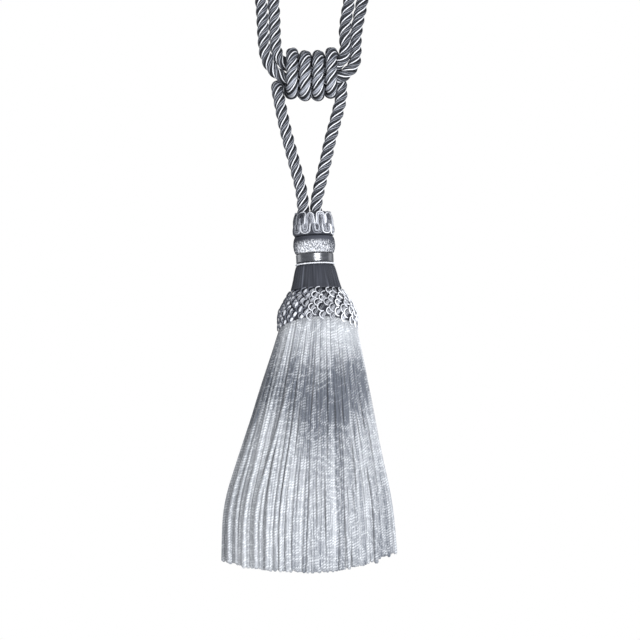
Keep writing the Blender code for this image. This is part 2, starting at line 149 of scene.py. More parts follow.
AIM = Vector((0.0054, 0.0, -0.3882))
CAMERA_DISTANCE = 1.2
CAMERA_PITCH = math.radians(4.5)
CAMERA_VIEW = math.radians(18.18)
FLOOR_HEIGHT = -0.72
FLOOR_RADIUS = 0.62
FLOOR_SIDES = 96
LIGHT_COLOUR = (0.955, 0.98, 1.03)
AIR_COLOUR = (0.325, 0.336, 0.36)  # of the light all round; the camera sees the air as white
LIGHTS = (
    # name, place from the aim, width and height, power in watts
    ("key", (0.38, -1.28, -0.14), (0.8, 0.9), 31.5),
    ("right", (1.3, 0.5, 0.0), (0.8, 1.2), 2.6),
    ("left", (-1.3, 0.5, 0.0), (0.8, 1.2), 3.4),
)


def add_camera():
    data = bpy.data.cameras.new("camera")
    data.angle = CAMERA_VIEW
    camera = bpy.data.objects.new("camera", data)
    back = Vector((0.0, -math.cos(CAMERA_PITCH), -math.sin(CAMERA_PITCH)))
    camera.location = AIM + back * CAMERA_DISTANCE
    camera.rotation_euler = (-back).to_track_quat("-Z", "Y").to_euler()
    bpy.context.scene.collection.objects.link(camera)
    bpy.context.scene.camera = camera


def add_light(name, place, size, power):
    data = bpy.data.lights.new(name, "AREA")
    data.color = LIGHT_COLOUR
    data.shape = "RECTANGLE"
    data.size, data.size_y = size
    data.energy = power
    light = bpy.data.objects.new(name, data)
    light.location = AIM + Vector(place)
    light.rotation_euler = (-Vector(place)).to_track_quat("-Z", "Y").to_euler()
    bpy.context.scene.collection.objects.link(light)


def add_air():
    """Even light from all round, which the camera itself sees as plain white."""
    world = bpy.data.worlds.new("studio")
    world.use_nodes = True
    nodes, links = world.node_tree.nodes, world.node_tree.links
    sight = nodes.new("ShaderNodeLightPath")
    tone = nodes.new("ShaderNodeMix")
    tone.data_type = "RGBA"
    tone.inputs[6].default_value = (*AIR_COLOUR, 1.0)
    tone.inputs[7].default_value = (1.0, 1.0, 1.0, 1.0)
    links.new(sight.outputs["Is Camera Ray"], tone.inputs[0])
    links.new(tone.outputs[2], nodes["Background"].inputs["Color"])
    bpy.context.scene.world = world


def add_floor():
    mesh = bpy.data.meshes.new("floor")
    turns = [TAU * k / FLOOR_SIDES for k in range(FLOOR_SIDES)]
    rim = [(FLOOR_RADIUS * math.cos(t), FLOOR_RADIUS * math.sin(t), 0.0) for t in turns]
    mesh.from_pydata(rim, [], [tuple(range(FLOOR_SIDES))])
    floor = bpy.data.objects.new("floor", mesh)
    floor.location.z = FLOOR_HEIGHT
    bpy.context.scene.collection.objects.link(floor)
    mesh.materials.append(Finish("pale_floor", (0.93, 0.93, 0.94), 0.85).material)


def add_studio():
    scene = bpy.context.scene
    scene.view_settings.view_transform = "Standard"
    scene.view_settings.look = "None"
    for light in LIGHTS:
        add_light(*light)
    add_air()
    add_floor()


# ---- materials ----


class Value:
    """A shader socket that takes part in ordinary arithmetic."""

    def __init__(self, finish, socket):
        self.finish, self.socket = finish, socket

    def maths(self, operation, *others):
        values = [self, *others]
        sockets = {i: v.socket if isinstance(v, Value) else v for i, v in enumerate(values)}
        return self.finish.node("Math", {"operation": operation}, sockets)

    def __add__(self, other):
        return self.maths("ADD", other)

    def __sub__(self, other):
        return self.maths("SUBTRACT", other)

    def __rsub__(self, other):
        return (self * -1.0) + other

    def __mul__(self, other):
        return self.maths("MULTIPLY", other)

    __radd__ = __add__
    __rmul__ = __mul__

    def wave(self):
        """A smooth wave from 0 to 1, once for each whole number."""
        return (self * TAU).maths("SINE") * 0.5 + 0.5

    def fraction(self):
        return self.maths("FRACT")

    def between(self, low, high):
        """0 at low and 1 at high, smooth in the middle; low may be the higher of the two."""
        sockets = {"Value": self.socket, "From Min": low, "From Max": high}
        return self.finish.node("MapRange", {"interpolation_type": "SMOOTHSTEP"}, sockets)


class Finish:
    """A material, its shader, and the means to write its nodes as expressions."""

    def __init__(self, name, colour, roughness, **uniform):
        self.material = bpy.data.materials.new(name)
        self.material.use_nodes = True
        self.tree = self.material.node_tree
        self.shader = self.tree.nodes["Principled BSDF"]
        self.shader.inputs["Base Color"].default_value = (*colour, 1.0)
        self.shader.inputs["Roughness"].default_value = roughness
        for socket, value in uniform.items():
            self.shader.inputs[socket.replace("_", " ")].default_value = value

    def node(self, kind, settings, sockets, output=0):
        made = self.tree.nodes.new("ShaderNode" + kind)
        for setting, value in settings.items():
            setattr(made, setting, value)
        for socket, value in sockets.items():
            if isinstance(value, Value):
                value = value.socket
            if isinstance(value, bpy.types.NodeSocket):
                self.tree.links.new(value, made.inputs[socket])
            else:
                made.inputs[socket].default_value = value
        return Value(self, made.outputs[output])

    def lay(self):
        """The piece's own coordinates: across or round it, and along it."""
        place = self.node("UVMap", {"uv_map": "lay"}, {})
        parts = self.node("SeparateXYZ", {}, {"Vector": place})
        return parts, Value(self, parts.socket.node.outputs[1])

    def attribute(self, name):
        return self.node("Attribute", {"attribute_name": name}, {}, output="Fac")

    def noise(self, scale, detail, stretch=(1.0, 1.0, 1.0)):
        """Noise over the object's own metres, stretched along its axes."""
        place = self.node("TexCoord", {}, {}, output="Object")
        sized = self.node("Mapping", {}, {"Vector": place, "Scale": stretch})
        sockets = {"Vector": sized, "Scale": scale, "Detail": detail}
        return self.node("TexNoise", {}, sockets)

    def streaks(self, stretch, detail):
        """Noise over the lay coordinates, long in the direction that is stretched least."""
        place = self.node("UVMap", {"uv_map": "lay"}, {})
        sized = self.node("Mapping", {}, {"Vector": place, "Scale": stretch})
        return self.node("TexNoise", {}, {"Vector": sized, "Scale": 1.0, "Detail": detail})

    def mix(self, share, low, high):
        """A colour from low to high by share."""
        colours = [c if isinstance(c, Value) else (*c, 1.0) for c in (low, high)]
        sockets = {0: share, 6: colours[0], 7: colours[1]}
        return self.node("Mix", {"data_type": "RGBA"}, sockets, output=2)

    def paint(self, **inputs):
        for socket, value in inputs.items():
            self.tree.links.new(value.socket, self.shader.inputs[socket.replace("_", " ")])

    def bump(self, height, depth):
        self.paint(Normal=self.node("Bump", {}, {"Height": height, "Distance": depth}))


def strand_satin():
    """Slate satin plies laid into a strand, with painted shade down in the grooves between the strands."""
    finish = Finish("strand_satin", (0.2, 0.21, 0.24), 0.36)
    around, along = finish.lay()
    across = around.fraction()
    plies = (around * 4.0 - along * 1.5).wave()
    fibres = (around * 13.0 - along * 6.0).wave()
    patches = finish.noise(420.0, 2.0)
    # the shade attribute brings the rope's painted shading: the winding paler underneath and darker on
    # top, the runs at the right darker
    shade = plies * 1.1 + fibres * 0.4 + patches * 0.8 + finish.attribute("shade") - 1.26
    # painted shade: the grooves painted near black, wider on one side of each strand
    groove = across.between(0.53, 0.72) + across.between(0.33, 0.17)
    colour = finish.mix(shade, (0.025, 0.028, 0.036), (0.49, 0.505, 0.55))
    finish.paint(Base_Color=finish.mix(groove, colour, (0.006, 0.007, 0.01)))
    finish.paint(Roughness=0.42 - plies * 0.12 + groove * 0.4)
    finish.bump(plies * 0.75 + fibres * 0.25, 0.5 * MM)
    return finish.material


def pale_yarn():
    """The fine bright yarn in the grooves of the rope and of the neck cord."""
    finish = Finish("pale_yarn", (0.9, 0.905, 0.92), 0.3)
    around, along = finish.lay()
    turns = (around * 2.0 + along * 16.0).wave()
    finish.paint(Base_Color=finish.mix(turns, (0.66, 0.666, 0.69), (0.94, 0.942, 0.95)))
    finish.bump(turns, 0.06 * MM)
    return finish.material


def ruff_yarn():
    """Soft grey yarn of the looped ruff, twisted and a little hairy."""
    finish = Finish("ruff_yarn", (0.4, 0.41, 0.44), 0.45)
    around, along = finish.lay()
    twist = (around * 2.0 + along * 1.0).wave()
    # the shade attribute holds each loop's own tone with painted shading, paler at the head's right
    shade = twist * 0.45 + finish.attribute("shade") * 0.95 + finish.noise(900.0, 2.0) * 0.8 - 0.85
    finish.paint(Base_Color=finish.mix(shade, (0.035, 0.038, 0.048), (0.58, 0.59, 0.63)))
    finish.paint(Roughness=0.55 - twist * 0.15)
    finish.bump(twist, 0.2 * MM)
    return finish.material


def deep_thread():
    """The dark thread ground that shows between loops and knots."""
    finish = Finish("deep_thread", (0.05, 0.053, 0.065), 0.6)
    around, _ = finish.lay()
    threads = (around * 150.0).wave()
    shade = threads * 0.5 + finish.noise(700.0, 2.0) * 0.5
    finish.paint(Base_Color=finish.mix(shade, (0.008, 0.009, 0.012), (0.05, 0.053, 0.068)))
    finish.paint(Roughness=0.65 - threads * 0.15)
    finish.bump(threads, 0.15 * MM)
    return finish.material


def boucle_wrap():
    """Pale flecked wrapping of the neck roll, with a plain dark band at the top, partly dark thread
    and partly painted shade under the ruff, and painted shade all round but the front.
    """
    finish = Finish("boucle_wrap", (0.6, 0.61, 0.65), 0.4)
    around, along = finish.lay()
    threads = (around * ROLL_THREADS + along * 1.5).wave()
    # painted shade: darker all round but the front, where the roll turns away from the light
    ends = around.between(0.57, 0.68) + around.between(0.37, 0.3)
    nubs = finish.noise(2300.0, 2.5, (1.0, 1.0, 0.5)) + along * 0.12 - ends * 0.04
    flecks = nubs.between(0.51, 0.66)
    # the plain dark band at the top: partly dark thread, partly painted shade under the ruff
    ragged = along + finish.noise(900.0, 2.0, (1.0, 1.0, 0.3)) * 0.22 - 0.11
    lower = ragged.between(0.3, 0.46)
    light = flecks * 0.9 + threads * 0.24 - ends * 0.36 - 0.04
    pale = finish.mix(light, (0.05, 0.055, 0.068), (0.88, 0.885, 0.9))
    dark = finish.mix(threads, (0.022, 0.024, 0.031), (0.07, 0.074, 0.092))
    finish.paint(Base_Color=finish.mix(lower, dark, pale))
    finish.paint(Roughness=0.5 - light * 0.15)
    finish.bump(flecks * lower * 0.6 + threads * 0.4, 0.28 * MM)
    return finish.material


def wound_satin():
    """Glossy slate threads wound flat round the neck."""
    glossy = {"Specular_IOR_Level": 1.0, "IOR": 1.7, "Coat_Weight": 0.6, "Coat_Roughness": 0.22}
    finish = Finish("wound_satin", (0.05, 0.053, 0.066), 0.2, **glossy)
    _, along = finish.lay()
    threads = (along * 11.0).wave()
    shade = threads * 0.7 + finish.noise(500.0, 2.0, (0.3, 0.3, 3.0)) * 0.6 - 0.35
    finish.paint(Base_Color=finish.mix(shade, (0.004, 0.005, 0.007), (0.085, 0.09, 0.105)))
    finish.paint(Roughness=0.26 - threads * 0.05)
    finish.bump(threads, 0.02 * MM)
    return finish.material


def bell_satin():
    """Slate satin threads running down the bell, with painted highlights down a few of them."""
    finish = Finish("bell_satin", (0.05, 0.053, 0.066), 0.4, Specular_IOR_Level=0.35)
    around, _ = finish.lay()
    threads = (around * BELL_THREADS).wave()
    # painted highlights: the paler streaks are partly the threads' own tone and partly painted highlight;
    # the brightest few are painted highlights
    streaks = finish.streaks((70.0, 0.6, 1.0), 3.0)
    bright = finish.streaks((46.0, 0.35, 1.0), 0.0).between(0.66, 0.8)
    shade = threads * 0.3 + streaks * 0.9 + bright * 0.75 - 0.35
    finish.paint(Base_Color=finish.mix(shade, (0.006, 0.0065, 0.009), (0.115, 0.121, 0.145)))
    finish.paint(Roughness=0.52 - threads * 0.12)
    finish.bump(threads * 0.6 + streaks * 0.4, 0.14 * MM)
    return finish.material


def net_yarn():
    """Grey knotted yarn of the netted collar."""
    finish = Finish("net_yarn", (0.42, 0.43, 0.47), 0.42)
    around, along = finish.lay()
    twist = (around * 3.0 + along * 2.0).wave()
    # the shade attribute holds each knot's own tone with the painted highlights at the sides of the net
    shade = twist * 0.4 + finish.attribute("shade") * 0.6 + finish.noise(1300.0, 2.0) * 0.6 - 0.55
    finish.paint(Base_Color=finish.mix(shade, (0.02, 0.022, 0.029), (0.75, 0.757, 0.785)))
    finish.paint(Roughness=0.5 - twist * 0.14)
    finish.bump(twist, 0.22 * MM)
    return finish.material


def net_edge():
    """The fine yarn that rims the knots of the net and the loops of the ruff, bright on some of them by
    their own tone and by painted shading, paler at the head's right and darker at its left.
    """
    finish = Finish("net_edge", (0.8, 0.81, 0.84), 0.32)
    around, along = finish.lay()
    turns = (around * 2.0 + along * 12.0).wave()
    shade = finish.attribute("shade") * 1.1 + turns * 0.25 - 0.22
    finish.paint(Base_Color=finish.mix(shade, (0.1, 0.107, 0.13), (0.92, 0.925, 0.94)))
    finish.bump(turns, 0.06 * MM)
    return finish.material


def bullion():
    """Silver grey cords with a tight twist, each a little lighter or darker than the next, under the
    skirt's painted shading.
    """
    finish = Finish("bullion", (0.6, 0.62, 0.67), 0.42, Sheen_Weight=0.5, Sheen_Roughness=0.5)
    around, along = finish.lay()
    ribs = (around * 2.0 - along * 2.0).wave()
    # the shade attribute holds each cord's own tone with the skirt's painted shading
    tone = finish.attribute("shade")
    hairs = finish.noise(1500.0, 1.0)
    marked = ribs * (around + finish.noise(110.0, 0.0) * 4.0).wave()
    light = (marked * 0.5 + tone + hairs * 0.6 - 0.34) * 0.893
    finish.paint(Base_Color=finish.mix(light, (0.065, 0.074, 0.092), (0.72, 0.73, 0.73)))
    finish.paint(Roughness=0.5 - ribs * 0.12)
    finish.bump(marked * 0.7 + hairs * 0.5, 0.2 * MM)
    return finish.material


# ---- routes ----


def spline(points, closed, pieces=16):
    """Points on a Catmull-Rom curve through points."""
    count = len(points)
    made = []
    for i in range(count if closed else count - 1):
        if closed:
            a, b, c, d = (points[(i + k) % count] for k in (-1, 0, 1, 2))
        else:
            b, c = points[i], points[i + 1]
            a = points[i - 1] if i else b * 2 - c
            d = points[i + 2] if i + 2 < count else c * 2 - b
        for k in range(pieces):
            t = k / pieces
            square, cube = t * t, t * t * t
            most = 2 * b + (c - a) * t + (2 * a - 5 * b + 4 * c - d) * square
            made.append(0.5 * (most + (3 * b - a - 3 * c + d) * cube))
    if not closed:
        made.append(points[-1].copy())
    return made


def evenly(points, step, closed):
    """The line through points again, in equal steps that are as near step as fits its length."""
    line = points + [points[0]] if closed else points
    along = [0.0]
    for a, b in zip(line, line[1:]):
        along.append(along[-1] + (b - a).length)
    count = round(along[-1] / step)
    made, i = [], 0
    for k in range(count if closed else count + 1):
        at = along[-1] * k / count
        while i < len(along) - 2 and along[i + 1] < at:
            i += 1
        made.append(line[i].lerp(line[i + 1], (at - along[i]) / (along[i + 1] - along[i])))
    return made, along[-1]


def eye_arc(start, end, onward):
    """Points on the half circle from start to end that bulges onward, without its two ends."""
    centre = (start + end) / 2
    across = start - centre
    bulge = Vector((onward.x, 0.0, onward.z)).normalized() * across.length
    turns = [math.pi * k / (EYE_ARC_POINTS + 1) for k in range(1, EYE_ARC_POINTS + 1)]
    return [centre + across * math.cos(turn) + bulge * math.sin(turn) for turn in turns]


def embrace_route():
    """The ring of rope: along the inner run, round the right eye, back along the outer run."""
    middle = [Vector(row[:3]) * MM for row in EMBRACE_ROUTE]
    inner, outer = [], []
    for i, (*_, offset, turned_by) in enumerate(EMBRACE_ROUTE):
        ahead = middle[min(i + 1, len(middle) - 1)] - middle[max(i - 1, 0)]
        inward = Vector((-ahead.z, 0.0, ahead.x)).normalized()
        turn = math.radians(turned_by)
        across = (inward * math.cos(turn) - Vector((0.0, math.sin(turn), 0.0))) * offset * MM
        inner.append(middle[i] + across)
        outer.append(middle[i] - across)
    right = eye_arc(inner[-1], outer[-1], middle[-1] - middle[-2])
    left = eye_arc(outer[0], inner[0], middle[0] - middle[1])
    return inner + right + outer[::-1] + left


def winding_point(turn):
    """A point of the winding, in turns counted from the top of the rightmost one, front first."""
    width = WINDING_WIDTH
    quarter, side = math.pi * width / 2, 2 * RUN_OFFSET
    share = turn % 1.0
    half = (share % 0.5) * (4 * quarter + 2 * side)
    if half < quarter:
        y, z = width * math.sin(half / width), RUN_OFFSET + width * math.cos(half / width)
    elif half < quarter + side:
        y, z = width, RUN_OFFSET - (half - quarter)
    else:
        angle = (half - quarter - side) / width
        y, z = width * math.cos(angle), -RUN_OFFSET - width * math.sin(angle)
    travel = 0.0
    if share < 0.5:
        y = -y
    else:
        travel = share * 2 - 1
        z = -z
    x = WINDING_RIGHT - WINDING_PITCH * (math.floor(turn) + travel)
    return KNOT + Vector((x, y, z + WINDING_RISE * x * x))


def hanger_route():
    """Up the right leg, round the embrace from right to left, and down the left leg."""
    count = round((WINDING_END - WINDING_START) * WINDING_POINTS_PER_TURN)
    turns = [WINDING_START + (WINDING_END - WINDING_START) * k / count for k in range(count + 1)]
    left = [KNOT + Vector(p) * MM for p in LEFT_LEG]
    right = [KNOT + Vector(p) * MM for p in RIGHT_LEG]
    return right[::-1] + [winding_point(turn) for turn in turns] + left


# ---- meshes ----

YARN, EDGE = 1, 2  # places of these in the materials of the ropes, the ruff and the net


def unit(vectors):
    return vectors / np.linalg.norm(vectors, axis=-1, keepdims=True)


def grid_faces(rows, columns, closed=False, shift=0):
    """Quads round a tube of rows of points, and each corner's column and row.

    closed joins the last row to the first one, shift columns on.
    """
    i, k = np.meshgrid(np.arange(rows if closed else rows - 1), np.arange(columns), indexing="ij")
    i, k = i.ravel(), k.ravel()
    n, ahead = (k + 1) % columns, (i + 1) % rows
    skew = np.where(ahead < i, shift, 0)
    here, there = i * columns, ahead * columns
    quads = np.stack([here + k, here + n, there + (n + skew) % columns, there + (k + skew) % columns], 1)
    corners = np.stack([k, i, k + 1, i, k + 1, i + 1, k, i + 1], 1).reshape(-1, 4, 2)
    return quads, corners.astype(float)


class Skin:
    """Gathers tubes and turned shapes into one mesh with lay coordinates, shades and materials."""

    def __init__(self):
        self.points, self.quads, self.lays, self.slots, self.shades = [], [], [], [], []
        self.count = 0

    def add(self, points, quads, lay, slot=0, shade=0.5):
        points = np.asarray(points, dtype=float).reshape(-1, 3)
        self.points.append(points)
        self.quads.append(quads + self.count)
        self.lays.append(lay)
        self.slots.append(np.full(len(quads), slot))
        self.shades.append(np.broadcast_to(shade, len(points)))
        self.count += len(points)

    def tubes(self, paths, outward, radii, sides=6, lay_step=1.0, slot=0, shades=0.5, starts=0.0):
        """Round tubes along paths (tube, point, xyz), with flat ends.

        outward points away from the piece's middle, so a lay coordinate of 0 faces out. lay_step is
        how far the coordinate along the tube goes from one point to the next, and starts is where it
        starts on each tube.
        """
        number, length = paths.shape[:2]
        along = unit(np.gradient(paths, axis=1))
        out = np.broadcast_to(outward, paths.shape)
        out = unit(out - (out * along).sum(-1, keepdims=True) * along)
        side = np.cross(along, out)
        turn = TAU * np.arange(sides) / sides
        reach = np.broadcast_to(radii, paths.shape[:2])[..., None, None]
        spokes = out[..., None, :] * np.cos(turn)[:, None] + side[..., None, :] * np.sin(turn)[:, None]
        points = paths[..., None, :] + spokes * reach
        quads, corners = grid_faces(length, sides)
        fan = np.array([(0, j + 2, j + 1, j) for j in range(1, sides - 2, 2)])
        ends = np.concatenate([fan, fan[:, ::-1] + (length - 1) * sides])
        quads = np.concatenate([quads, ends])
        lay = corners * (1.0 / sides, lay_step)
        lay = np.concatenate([lay, np.zeros((len(ends), 4, 2))])
        lays = np.tile(lay, (number, 1, 1, 1))
        lays[..., 1] += np.broadcast_to(starts, number)[:, None, None]
        each = length * sides
        steps = np.arange(number)[:, None, None] * each
        shades = np.broadcast_to(np.asarray(shades, dtype=float).T, (length, number)).T
        self.add(
            points,
            (quads[None] + steps).reshape(-1, 4),
            lays.reshape(-1, 4, 2),
            slot,
            np.repeat(shades, sides),
        )

    def build(self, name, materials):
        points, quads = np.concatenate(self.points), np.concatenate(self.quads)
        mesh = bpy.data.meshes.new(name)
        mesh.vertices.add(len(points))
        mesh.vertices.foreach_set("co", points.ravel())
        mesh.loops.add(quads.size)
        mesh.loops.foreach_set("vertex_index", quads.ravel().astype(np.int32))
        mesh.polygons.add(len(quads))
        mesh.polygons.foreach_set("loop_start", np.arange(0, quads.size, 4, dtype=np.int32))
        mesh.polygons.foreach_set("material_index", np.concatenate(self.slots).astype(np.int32))
        lay = mesh.uv_layers.new(name="lay")
        lay.data.foreach_set("uv", np.concatenate(self.lays).ravel())
        shade = mesh.attributes.new("shade", "FLOAT", "POINT")
        shade.data.foreach_set("value", np.concatenate(self.shades))
        mesh.update(calc_edges=True)
        mesh.shade_smooth()
        for material in materials:
            mesh.materials.append(material)
        made = bpy.data.objects.new(name, mesh)
        bpy.context.scene.collection.objects.link(made)
        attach(made, "root")
        return made


# ---- ropes ----

STRANDS = 3
RINGS_PER_LAY = 30
RINGS_PER_PATH_POINT = 8  # in the path given for each cord
STRAND_COLUMNS = 12
STRAND_RADIUS = 2.06 * MM
STRAND_OFFSET = 1.72 * MM
YARN_OFFSET = 2.68 * MM
YARN_RADIUS = 0.38 * MM
WINDING_REACH_MM = 15.0  # from the knot's middle
ROPES = (
    # piece, node, is it a ring
    ("embrace_rope", "embrace", True),
    ("hanger_rope", "hanger", False),
)


def carried_frames(line, closed):
    """Tangents of the line, and a direction across it that is carried along without turning."""
    count = len(line)
    tangents = []
    for i in range(count):
        a = line[(i - 1) % count] if closed else line[max(i - 1, 0)]
        b = line[(i + 1) % count] if closed else line[min(i + 1, count - 1)]
        tangents.append((b - a).normalized())
    across = [Vector((0.0, 1.0, 0.0)).cross(tangents[0]).normalized()]
    for a, b in zip(tangents, tangents[1:]):
        across.append((a.rotation_difference(b) @ across[-1]).normalized())
    return tangents, across


def rope_painted_shading(points):
    """Painted shading of the rope: the winding painted paler than the runs, most underneath
    and least on top, and the pair of runs at the right painted darkest.
    """
    x, _, z = ((points - np.array(KNOT)) / MM).T
    in_winding = np.exp(-((x / WINDING_REACH_MM) ** 8)) * np.exp(-((z / WINDING_REACH_MM) ** 8))
    at_right = (x > WINDING_REACH_MM) * (z > -8.0)
    return (0.29 + in_winding * (0.4 - 0.042 * z) - 0.14 * at_right).T


def rope(name, route, closed):
    """Three strands laid up along a route, with a pale yarn in each groove."""
    line, length = evenly(spline(route, closed), ROPE_LAY / RINGS_PER_LAY, closed)
    tangents, across = carried_frames(line, closed)
    lays, closing = length / ROPE_LAY, 0.0
    if closed:
        lays = round(lays * STRANDS) / STRANDS
        back = tangents[-1].rotation_difference(tangents[0]) @ across[-1]
        closing = math.atan2(across[0].cross(back).dot(tangents[0]), across[0].dot(back))
    rings = len(line)
    centre, first = np.array(line), np.array(across)
    second = np.cross(np.array(tangents), first)
    turn = (TAU * lays - closing) * np.arange(rings) / (rings if closed else rings - 1)

    def spoke(angle):
        return first * np.cos(angle)[:, None] + second * np.sin(angle)[:, None]

    skin = Skin()
    lobe = (np.arange(STRAND_COLUMNS) / STRAND_COLUMNS - 0.5) * TAU / STRANDS
    crest = np.sqrt(STRAND_RADIUS**2 - (STRAND_OFFSET * np.sin(lobe)) ** 2) + STRAND_OFFSET * np.cos(lobe)
    columns = []
    for k in range(STRANDS):
        for angle, radius in zip(lobe, crest):
            columns.append(centre + spoke(turn + TAU * k / STRANDS + angle) * radius)
    shift = round(lays * STRANDS) % STRANDS if closed else 0
    quads, corners = grid_faces(rings, len(columns), closed, shift * STRAND_COLUMNS)
    lay = corners * (1.0 / STRAND_COLUMNS, 1.0 / RINGS_PER_LAY)
    points = np.stack(columns, 1).reshape(-1, 3)
    skin.add(points, quads, lay, shade=rope_painted_shading(points))

    for k in range(STRANDS):
        out = spoke(turn + TAU * (k + 0.5) / STRANDS)
        path = centre + out * YARN_OFFSET
        if closed:
            follower = spoke(turn + TAU * (k + 0.5 + shift) / STRANDS)
            path = np.concatenate([path, (centre + follower * YARN_OFFSET)[:1]])
            out = np.concatenate([out, follower[:1]])
        skin.tubes(path[None], out[None], YARN_RADIUS, lay_step=1.0 / RINGS_PER_LAY, slot=YARN)
    made = skin.build(name, [FINISHES["strand"], FINISHES["yarn"]])
    return made, centre[::RINGS_PER_PATH_POINT], length


def add_ropes():
    for (name, node, closed), route in zip(ROPES, (embrace_route(), hanger_route())):
        made, path, length = rope(name, route, closed)
        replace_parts(made, node)


# ---- head ----

# Profiles of the turned parts, as (height below the head's top, radius) in mm.
ROLL_PROFILE_MM = (
    (15.0, 9.6),
    (15.0, 10.9),
    (15.4, 11.7),
    (17.2, 12.3),
    (20.2, 12.6),
    (23.0, 12.2),
    (24.8, 11.6),
    (25.2, 11.0),
    (25.2, 9.6),
)
SATIN_PROFILE_MM = (
    (25.5, 9.6),
    (25.5, 10.9),
    (25.9, 11.3),
    (28.2, 11.27),
    (30.4, 11.3),
    (30.8, 10.9),
    (30.8, 9.6),
)
BELL_PROFILE_MM = (
    (31.1, 9.6),
    (31.1, 10.5),
    (32.5, 10.5),
    (32.7, 11.5),
    (34.4, 12.1),
    (37.4, 12.9),
    (41.0, 13.7),
    (44.4, 14.6),
    (46.9, 15.4),
    (47.1, 14.9),
    (47.1, 13.0),
)
SEAM_TURN = 0.25  # from the head's right-hand side to its back, where the seams lie
GROUND_COLUMNS = 96
ROLL_THREADS = 128
BELL_THREADS = 132
COLUMNS_PER_THREAD = 4
SATIN_RIDGES = 9
NECK_CORD_HEIGHT = 31.75 * MM
NECK_CORD_RADIUS = 11.4 * MM
NECK_CORD_LAYS = 34
NECK_CORD_RINGS_PER_LAY = 10
PLY_OFFSET = 0.24 * MM
PLY_RADIUS = 0.26 * MM
ROPE_OPENING = (5.3 * MM, 4.1 * MM)  # half spacing of the two legs, and the room round each
RUFF_GROUND = (
    # height below the head's top in mm, share of the opening's reach, how much further out in mm
    (6.5, 0.02, 0.0),
    (6.5, 1.0, 0.0),
    (1.6, 1.0, 0.0),
    (0.7, 1.0, 0.6),
    (0.5, 0.5, 5.0),
    (1.3, 0.0, 9.6),
    (4.0, 0.0, 10.9),
    (8.0, 0.0, 11.4),
    (12.5, 0.0, 11.7),
    (14.5, 0.0, 11.8),
    (14.8, 0.0, 9.6),
)
RUFF_LOOPS = 11
RUFF_LOOP_POINTS = 17
RUFF_BULGE_MM = 0.6  # of a loop, outward at the middle of its rise
RUFF_TIERS = (
    # place of the first loop in loops, how far the feet are below the head's top, rise, radius at
    # the feet and at the crown, all in mm, and the most by which a loop narrows to its crown
    (0.91, 8.9, 7.9, 11.7, 10.4, 0.45),
    (0.54, 7.4, -6.6, 11.5, 11.9, 0.1),
)
RUFF_NEST = (
    # half width, share of the rise, yarn radius, how far it lies back, material
    (3.1, 1.0, 0.36, 0.1, EDGE),
    (2.25, 0.9, 0.5, 0.0, YARN),
    (1.3, 0.78, 0.5, 0.1, YARN),
    (0.45, 0.6, 0.46, 0.2, YARN),
)
RUFF_RIM_KNOTS = 26
RUFF_RIM_KNOT = (2.6 * MM, 0.85 * MM)  # length and radius
RUFF_RIM_SEAT = 0.9 * MM  # out from the opening, and down from the head's top
COLLAR_TOP_MM = 47.4
COLLAR_BOTTOM_MM = 70.5
COLLAR_CROWN_RADIUS = 14.6 * MM
COLLAR_FULL_RADIUS = 22.8 * MM
COLLAR_GROUND_MM = (22.9, 0.3)  # how far down the ground's side goes, and how far inside the net it lies
COLLAR_EDGES_MM = (13.0, 19.0)  # radii to which the ground's top and bottom edges turn in
COLLAR_KNOTS = 22
COLLAR_KNOT_ROWS = 7
COLLAR_KNOT_TILT = (54.0, -12.0, 14.0)  # degrees: facing front, added at the right, by chance
COLLAR_RISE = 5.4 * MM  # how much higher the net ends at the front and back than at the sides
RIM_ARC = (85.0, 272.0)  # degrees: from above a knot, round its left, to below it
RIM_POINTS = 9
RIM_RADIUS = 0.36 * MM


def on_head(angle, radius, height):
    """Points at an angle about the head's axis, a radius from it and a height below its top."""
    local = np.stack(np.broadcast_arrays(radius * np.cos(angle), radius * np.sin(angle), -height), -1)
    return local @ np.array(HEAD.to_3x3()).T + np.array(HEAD.translation)


def out_of_head(angle):
    """Directions straight out from the head's axis."""
    flat = np.stack(np.broadcast_arrays(np.cos(angle), np.sin(angle), 0.0 * angle), -1)
    return flat @ np.array(HEAD.to_3x3()).T


def resample(profile_mm, count):
    """Evenly spaced points along a profile of (height, radius) in mm, in metres."""
    rows = np.array(profile_mm) * MM
    along = np.concatenate([[0.0], np.cumsum(np.linalg.norm(np.diff(rows, axis=0), axis=1))])
    at = np.linspace(0.0, along[-1], count)
    return np.interp(at, along, rows[:, 0]), np.interp(at, along, rows[:, 1])


def turned(skin, profile_mm, rows, columns, relief=None):
    """A turned shape from its profile, its seam at the back.

    relief(angle, share) gives how far each point stands out, in metres.
    """
    height, radius = resample(profile_mm, rows)
    turn = TAU * (np.arange(columns) / columns + SEAM_TURN)
    angle, share = np.meshgrid(turn, np.linspace(0.0, 1.0, rows))
    reach = np.repeat(radius[:, None], columns, 1)
    if relief is not None:
        reach = reach + relief(angle, share)
    points = on_head(angle, reach, np.repeat(height[:, None], columns, 1))
    quads, corners = grid_faces(rows, columns)
    skin.add(points, quads[:, ::-1], (corners * (1.0 / columns, 1.0 / (rows - 1)))[:, ::-1])


def opening_reach(angle):
    """How far the opening for the two legs of rope reaches from the axis, at an angle."""
    half, room = ROPE_OPENING
    c, s = np.abs(np.cos(angle)), np.maximum(np.abs(np.sin(angle)), 1e-6)
    straight = room / s
    ends = half * c + np.sqrt(np.maximum(room**2 - (half * s) ** 2, 0.0))
    return np.where(straight * c <= half, straight, ends)


def ruff_ground(skin):
    """The dark ground of the ruff: its pocket round the rope, its top and its side."""
    angle = TAU * (np.arange(GROUND_COLUMNS) / GROUND_COLUMNS + SEAM_TURN)
    opening = opening_reach(angle)
    rows = []
    for height, share, further in RUFF_GROUND:
        rows.append(on_head(angle, share * opening + further * MM, height * MM))
    quads, corners = grid_faces(len(rows), GROUND_COLUMNS)
    skin.add(np.stack(rows), quads[:, ::-1], (corners * (1.0 / GROUND_COLUMNS, 0.1))[:, ::-1])


